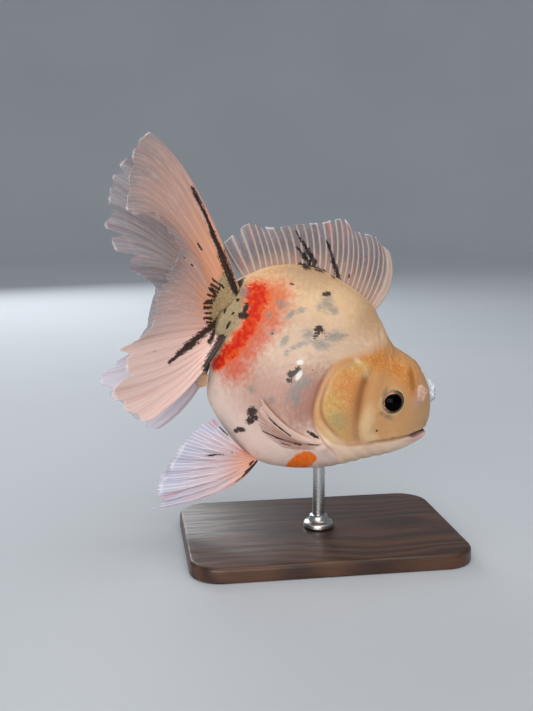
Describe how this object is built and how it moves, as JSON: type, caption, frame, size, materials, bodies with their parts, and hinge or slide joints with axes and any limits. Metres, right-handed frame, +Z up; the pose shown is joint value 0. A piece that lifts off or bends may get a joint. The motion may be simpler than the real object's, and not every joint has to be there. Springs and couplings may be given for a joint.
{
  "type": "fancy goldfish model",
  "caption": "Calico fancy goldfish with a deep round body, small head growth and double tail, swimming nose down, held by a rod above a flat display base.",
  "frame": {"origin": "on the flat underside of the stand's base, under the rod's axis", "axes": "+Z up along the rod, +X the way the fish faces, so its right flank is towards -Y"},
  "size_m": [0.139, 0.074, 0.1594],
  "materials": {
    "skin": "moist satin skin, cream and pink with orange, red and black markings",
    "fin": "thin translucent fin, peach at the root and blue-grey at the edge",
    "flap": "pale moist flesh",
    "eye": "clear glossy eye with a black pupil",
    "base": "dark satin walnut",
    "rod": "brushed"
  },
  "bodies": {
    "root": {"head": "skin", "lower_jaw": "skin", "gill_cover_right": "skin", "gill_cover_left": "skin", "trunk": "skin", "tail_stem": "skin", "dorsal_fin": "fin", "pectoral_fin_right": "fin", "pectoral_fin_left": "fin", "pelvic_fin_right": "fin", "pelvic_fin_left": "fin", "anal_fin_right": "fin", "anal_fin_left": "fin", "tail_fin_right_upper": "fin", "tail_fin_right_lower": "fin", "tail_fin_left_upper": "fin", "tail_fin_left_lower": "fin", "nostril_flap_right": "flap", "nostril_flap_left": "flap", "snout_tuft": "flap", "eye_right": "eye", "eye_left": "eye", "stand_base": "base", "stand_rod": "rod", "stand_collar": "rod"}
  },
  "joints": []
}
